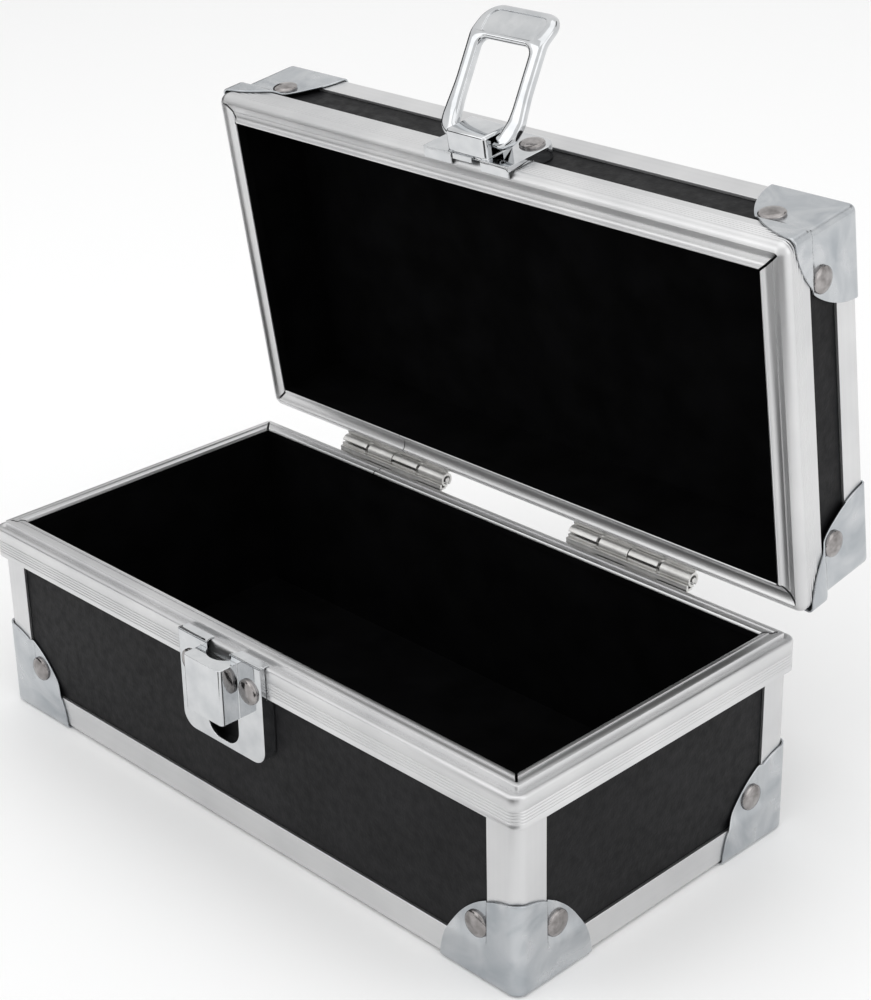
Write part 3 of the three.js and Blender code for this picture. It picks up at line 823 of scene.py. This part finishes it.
for number, x in enumerate(hinge_places, start=1):
    seat = (x, leaf_face, body_leaf_rivet_z)
    name, node = f"hinge_body_rivet_head_{number}", f"hinge_body_rivet_{number}"
    rivet_head(name, seat, (0, 1, 0), hinge_rivet, "tray", [node])
    seat = (x, leaf_face, lid_leaf_rivet_z)
    name, node = f"hinge_lid_rivet_head_{number}", f"hinge_lid_rivet_{number}"
    rivet_head(name, seat, (0, 1, 0), hinge_rivet, "lid", [node], lid_opened)

# Hinges: nickel-plated steel leaves, each rolled into two knuckles that turn on a steel pin. The
# rolled edge of a knuckle leaves a fine slit along it.
hinge_steel, shader, place = shaded_material("nickel_plated_steel", (0.68, 0.675, 0.66), 1, 0.2)
streaks_at = add_node(hinge_steel, "VectorMath", {0: place, 1: (0.03, 1, 1)}, operation="MULTIPLY").outputs[0]
streaks = add_node(hinge_steel, "TexNoise", {"Vector": streaks_at, "Scale": 1400, "Detail": 2}).outputs[0]
dull = add_node(hinge_steel, "TexNoise", {"Vector": place, "Scale": 260, "Detail": 4}).outputs[0]
link(hinge_steel, ramp(hinge_steel, dull, (0.6, 0.595, 0.58), (0.74, 0.735, 0.72)), shader, "Base Color")
link(hinge_steel, ramp(hinge_steel, streaks, 0.34, 0.4), shader, "Roughness")
bump = add_node(hinge_steel, "Bump", {"Height": streaks, "Strength": 0.03, "Distance": 0.01 * mm}).outputs[0]
link(hinge_steel, bump, shader, "Normal")

hinge_length = 39 * mm
knuckle_count = 4
knuckle_gaps = (0.85 * mm, 0.25 * mm, 0.85 * mm)
knuckle_radius = 1.9 * mm
knuckle_bore = 1.15 * mm
pin_radius = 0.75 * mm
leaf_inner = half_depth + 0.1 * mm
leaf_start = 0.7 * mm
leaf_end = 9 * mm
strip_near, strip_far = 1.75 * mm, 2.4 * mm
knuckle_length = (hinge_length - sum(knuckle_gaps)) / knuckle_count


def rod_solid(radius, start, end, sides=32):
    """A bmesh of one rod between two points."""
    bm = bmesh.new()
    start, end = Vector(start), Vector(end)
    bmesh.ops.create_cone(
        bm,
        cap_ends=True,
        segments=sides,
        radius1=radius,
        radius2=radius,
        depth=(end - start).length,
    )
    turn = (end - start).to_track_quat("Z", "Y").to_matrix().to_4x4()
    bmesh.ops.transform(bm, matrix=Matrix.Translation((start + end) / 2) @ turn, verts=bm.verts)
    return bm


def round_edges(piece, width, segments=3, angle=35):
    rounding = piece.modifiers.new("rounding", "BEVEL")
    rounding.width = width
    rounding.segments = segments
    rounding.limit_method = "ANGLE"
    rounding.angle_limit = math.radians(angle)
    rounding.use_clamp_overlap = False
    rounding.harden_normals = True


def knuckle(bm, start, end, up):
    """A rolled knuckle: a strip wound most of the way round the pin."""
    first = set(bm.verts)
    low, high = pin_place.z + knuckle_bore, pin_place.z + knuckle_radius
    y = pin_place.y
    corners = ((start, y, low), (end, y, low), (end, y, high), (start, y, high))
    strip = bm.faces.new([bm.verts.new(corner) for corner in corners])
    bmesh.ops.spin(
        bm,
        geom=geometry_of(strip.verts),
        cent=pin_place,
        axis=(1, 0, 0),
        angle=math.radians(-340 * up),
        steps=30,
        use_merge=False,
    )
    rolled = [vert for vert in bm.verts if vert not in first]
    bmesh.ops.rotate(
        bm, verts=rolled, cent=pin_place, matrix=Matrix.Rotation(math.radians(150 * up), 3, "X")
    )


def hinge_leaf(middle, up, first):
    """One leaf with its knuckles; up is 1 on the lid and -1 on the body."""
    start = middle - hinge_length / 2
    low, high = sorted((pin_place.z + up * leaf_start, pin_place.z + up * leaf_end))
    bm = box_solid((start, leaf_inner, low), (start + hinge_length, leaf_face, high))
    for i in range(first, knuckle_count, 2):
        left = start + i * knuckle_length + sum(knuckle_gaps[:i])
        knuckle(bm, left, left + knuckle_length, up)
        # A strip carries the leaf's edge over to its knuckle, on the side away from the other leaf.
        low, high = sorted((pin_place.z + up * strip_near, pin_place.z + up * strip_far))
        strip_end = pin_place.y - 0.3 * mm
        add_solid(bm, box_solid((left, leaf_inner, low), (left + knuckle_length, strip_end, high)))
    bmesh.ops.recalc_face_normals(bm, faces=bm.faces)
    return bm


for side, middle in zip(("left", "right"), hinge_centres):
    name = f"hinge_{side}_body_leaf"
    leaf = hinge_leaf(middle, -1, 1)
    leaf = finish_piece(leaf, name + "_rolled", hinge_steel, "tray", [name])
    round_edges(leaf, 0.12 * mm, 2)
    name = f"hinge_{side}_lid_leaf"
    leaf = hinge_leaf(middle, 1, 0)
    leaf = finish_piece(leaf, name + "_rolled", hinge_steel, "lid", [name], lid_opened)
    round_edges(leaf, 0.12 * mm, 2)
    name = f"hinge_{side}_pin"
    reach = hinge_length / 2 + 0.3 * mm
    ends = [(middle + way * reach, pin_place.y, pin_place.z) for way in (-1, 1)]
    pin = rod_solid(pin_radius, *ends)
    pin = finish_piece(pin, name + "_rod", hinge_steel, "tray", [name])
    round_edges(pin, 0.2 * mm)

# Keeper: a chromed steel stamping, dished with a flange round it and hooked over the ledge. Its
# hollow nose takes the loop, over a window that shows the dark inside.
chrome, shader, place = shaded_material("polished_chrome", (0.8, 0.81, 0.82), 1, 0.06)
smear = add_node(chrome, "TexNoise", {"Vector": place, "Scale": 210, "Detail": 4}).outputs[0]
orange_peel = add_node(chrome, "TexNoise", {"Vector": place, "Scale": 700, "Detail": 2}).outputs[0]
link(chrome, ramp(chrome, smear, 0.04, 0.11), shader, "Roughness")
link(chrome, ramp(chrome, smear, (0.56, 0.575, 0.59), (0.68, 0.69, 0.7)), shader, "Base Color")
bump = add_node(chrome, "Bump", {"Height": orange_peel, "Strength": 0.1, "Distance": 0.02 * mm}).outputs[0]
link(chrome, bump, shader, "Normal")

plate_wall = 0.8 * mm
plate_round = 4 * mm
hook_wall = 0.4 * mm
hook_depth = 1.4 * mm
hook_gap = 4.8 * mm
skirt_clear = 0.1 * mm
board_face = -half_depth + 2 * mm


def outline_solid(corners, rounds, near, far):
    """A flat outline of (x, z) points, some with round corners, run back from near to far in Y."""
    bm = bmesh.new()
    verts = [bm.verts.new((x, near, z)) for x, z in corners]
    bm.faces.new(verts)
    for at, radius in rounds.items():
        rounded(bm, [verts[at]], radius, 8)
    back = bmesh.ops.extrude_face_region(bm, geom=list(bm.faces))["geom"]
    moved = [part for part in back if isinstance(part, bmesh.types.BMVert)]
    bmesh.ops.translate(bm, vec=(0, far - near, 0), verts=moved)
    bmesh.ops.recalc_face_normals(bm, faces=bm.faces)
    return bm


def stamped_plate(half, round_end, square_end, skirt_from, skirt_to):
    """A plate with round corners at one end and a flange that reaches back to what is behind."""
    way = math.copysign(1, square_end - round_end)
    corners = ((half, round_end), (half, square_end), (-half, square_end), (-half, round_end))
    plate = outline_solid(corners, {0: plate_round, 3: plate_round}, plate_face, board_face)
    inner = half - plate_wall
    start = round_end + way * plate_wall
    end = square_end + way * plate_wall
    corners = ((inner, start), (inner, end), (-inner, end), (-inner, start))
    inner_round = plate_round - plate_wall
    hollow = outline_solid(
        corners, {0: inner_round, 3: inner_round}, plate_face + plate_wall, board_face + 1 * mm
    )
    plate = shaped(plate, hollow, "DIFFERENCE")
    wide = half + 1 * mm
    skirt = box_solid((-wide, -half_depth - skirt_clear, skirt_from), (wide, 0, skirt_to))
    return shaped(plate, skirt, "DIFFERENCE")


keeper_half = 14.7 * mm
keeper_low = 25.5 * mm
keeper_high = ledge_height + hook_wall
nose_half = 6.5 * mm
nose_face = plate_face - 5.4 * mm
nose_low = 35.3 * mm
nose_high = 49.8 * mm
nose_wall = 0.9 * mm
nose_round = 0.9 * mm
keeper = stamped_plate(keeper_half, keeper_low, keeper_high, skirt_foot - skirt_clear, 60 * mm)
hook = box_solid(
    (-keeper_half, plate_face, keeper_high - hook_wall + 0.05 * mm),
    (keeper_half, hook_depth - half_depth, keeper_high),
)
keeper = shaped(keeper, hook, "UNION")
nose = outline_solid(
    ((nose_half, nose_low), (nose_half, nose_high), (-nose_half, nose_high), (-nose_half, nose_low)),
    {},
    nose_face,
    plate_face + 0.4 * mm,
)
upright_edges = [
    edge
    for edge in nose.edges
    if all(vert.co.y < nose_face + 0.01 * mm for vert in edge.verts)
    and abs(edge.verts[0].co.x - edge.verts[1].co.x) < 0.01 * mm
]
rounded(nose, upright_edges, nose_round, 5, "EDGES")
keeper = shaped(keeper, nose, "UNION")
hollow_half = nose_half - nose_wall
window_foot = keeper_low + 1.4 * mm
hollow = outline_solid(
    (
        (hollow_half, window_foot),
        (hollow_half, nose_high - nose_wall),
        (-hollow_half, nose_high - nose_wall),
        (-hollow_half, window_foot),
    ),
    {0: 4.4 * mm, 3: 4.4 * mm},
    nose_face + nose_wall,
    -half_depth,
)
keeper = shaped(keeper, hollow, "DIFFERENCE")
cut_middle = 1 * mm - half_depth
cut_foot = (0, cut_middle, nose_high - 1.5 * mm)
cut_head = (0, cut_middle, keeper_high + 1 * mm)
thumb_cut = rod_solid(hook_gap, cut_foot, cut_head, 48)
keeper = shaped(keeper, thumb_cut, "DIFFERENCE")
keeper_piece = finish_piece(keeper, "keeper_stamping", chrome, "tray", ["keeper_plate"])
round_edges(keeper_piece, 0.16 * mm)

# Latch base: a second chromed stamping, hooked under the lid's skirt. The bridge pressed up in
# its middle carries the loop's bar in a slot through its sides.
base_half = 14 * mm
base_high = lid_seat + 17.3 * mm
bridge_half = 6.4 * mm
bridge_face = plate_face - 5.6 * mm
bridge_wall = 0.9 * mm
bridge_round = 0.85 * mm
bridge_low = lid_seat + 0.3 * mm
bridge_high = lid_seat + 9.4 * mm
bar_radius = 1.45 * mm
hook_low = lid_seat - hook_wall
loop_pivot = Vector((0, -51.5 * mm, 56.4 * mm))
base = stamped_plate(base_half, base_high, hook_low, 0, lid_skirt_top + skirt_clear)
hook_far = (base_half, hook_depth - half_depth, lid_seat - 0.05 * mm)
hook = box_solid((-base_half, plate_face, hook_low), hook_far)
base = shaped(base, hook, "UNION")
bridge = outline_solid(
    (
        (bridge_half, bridge_low),
        (bridge_half, bridge_high),
        (-bridge_half, bridge_high),
        (-bridge_half, bridge_low),
    ),
    {},
    bridge_face,
    plate_face + 0.4 * mm,
)
outer_edges = [
    edge
    for edge in bridge.edges
    if all(vert.co.y < bridge_face + 0.01 * mm for vert in edge.verts)
    or (
        all(vert.co.z < bridge_low + 0.01 * mm for vert in edge.verts)
        and edge.verts[0].co.x == edge.verts[1].co.x
    )
]
rounded(bridge, outer_edges, bridge_round, 5, "EDGES")
base = shaped(base, bridge, "UNION")
hollow = box_solid(
    (bridge_wall - bridge_half, bridge_face + bridge_wall, bridge_low + bridge_wall),
    (bridge_half - bridge_wall, plate_face + plate_wall + 1 * mm, bridge_high - bridge_wall),
)
base = shaped(base, hollow, "DIFFERENCE")
gap_near = (-hook_gap, plate_face - 0.1 * mm, hook_low - 1 * mm)
gap = box_solid(gap_near, (hook_gap, 0, bridge_low + 0.05 * mm))
base = shaped(base, gap, "DIFFERENCE")
slot_reach = bridge_half + 1 * mm
slot_half = bar_radius + 0.3 * mm
slot = box_solid(
    (-slot_reach, bridge_face + bridge_wall, loop_pivot.z - slot_half),
    (slot_reach, plate_face - 0.3 * mm, loop_pivot.z + slot_half),
)
base = shaped(base, slot, "DIFFERENCE")
# A small tongue from the bridge's foot fills part of the gap between the hook's two halves.
tongue_width = 6.4 * mm
tongue_start = -hook_gap + 0.4 * mm
tongue = box_solid(
    (tongue_start, plate_face + 0.1 * mm, hook_low + 0.12 * mm),
    (tongue_start + tongue_width, -half_depth - 0.05 * mm, bridge_low + 0.4 * mm),
)
base = shaped(base, tongue, "UNION")
base_piece = finish_piece(
    base, "latch_base_stamping", chrome, "lid", ["latch_base"], lid_opened
)
round_edges(base_piece, 0.16 * mm)

# Loop: a chromed zinc casting that swings on its bar and drops over the keeper's nose. Its free
# end is bent out as a finger lift.
loop_joint = next(joint for joint in frame["joints"] if joint["name"] == "loop_hinge")
loop_angle = math.radians(loop_joint["range_deg"][0])
loop_raised = (
    lid_opened @ Matrix.Translation(loop_pivot) @ Matrix.Rotation(loop_angle, 4, "X")
)
loop_front = -1.9 * mm
loop_back = 0.9 * mm
loop_round = 1.05 * mm
hole_half = 8.3 * mm
hole_high = 23.2 * mm
tab_end = 32.4 * mm
tab_slope = math.tan(math.radians(27))
tab_ease = 2.4 * mm
tab_step = 0.3 * mm
bar_shift = 0.5 * mm
arm_outline = (
    (11.4 * mm, -1.4 * mm),
    (12.7 * mm, 4.6 * mm),
    (12.2 * mm, 9 * mm),
    (11.9 * mm, 12.5 * mm),
    (11.9 * mm, tab_end),
)
arm_rounds = (3.6 * mm, 1.9 * mm, 1.6 * mm, 1.4 * mm, 5 * mm)
hole_outline = (
    (hole_half, hole_high, 2.2 * mm),
    (hole_half, 6.5 * mm, 2.5 * mm),
    (7.1 * mm, 1.4 * mm, 1.2 * mm),
)


def both_sides(half_outline):
    """Corners and rounds of a shape that is alike on both sides, from points down one side."""
    points = list(half_outline) + [(-x, down, radius) for x, down, radius in reversed(half_outline)]
    return [(x, -down) for x, down, radius in points], {
        at: radius for at, (x, down, radius) in enumerate(points) if radius
    }


arms = [(*point, radius) for point, radius in zip(arm_outline, arm_rounds)]
ring = shaped(
    outline_solid(*both_sides(arms), loop_front, loop_back),
    outline_solid(*both_sides(hole_outline), loop_front - 1 * mm, loop_back + 1 * mm),
    "DIFFERENCE",
)
bmesh.ops.dissolve_limit(ring, angle_limit=math.radians(0.5), verts=ring.verts, edges=ring.edges)
rims = [
    edge
    for edge in ring.edges
    if len(edge.link_faces) == 2
    and edge.calc_face_angle() > math.radians(70)
    and abs(edge.verts[0].co.y - edge.verts[1].co.y) < 0.01 * mm
]
rounded(ring, rims, loop_round, 5, "EDGES")
lift = (
    (8.4 * mm, 24.7 * mm, 1 * mm),
    (9.9 * mm, 31 * mm, 3.4 * mm),
)
pocket = outline_solid(*both_sides(lift), loop_back - 0.3 * mm, loop_back + 1 * mm)
ring = shaped(ring, pocket, "DIFFERENCE")
for step in range(12):
    height = -hole_high - step * tab_step
    bmesh.ops.bisect_plane(
        ring, geom=geometry_of(ring.verts), plane_co=(0, 0, height), plane_no=(0, 0, 1)
    )
for vert in ring.verts:
    beyond = max(-vert.co.z - hole_high, 0)
    eased = min(beyond, tab_ease)
    vert.co.y -= tab_slope * (beyond - eased + eased * eased / (2 * tab_ease))
    # The bar that closes the ring lies on the axis it swings about.
    vert.co.y += bar_shift * (1 - smooth_step(-vert.co.z, 1.5 * mm, 6 * mm))
finger_loop = finish_piece(
    ring, "latch_loop_casting", chrome, "loop", ["latch_loop"], loop_raised, 40
)
round_edges(finger_loop, 0.1 * mm, 2, 40)
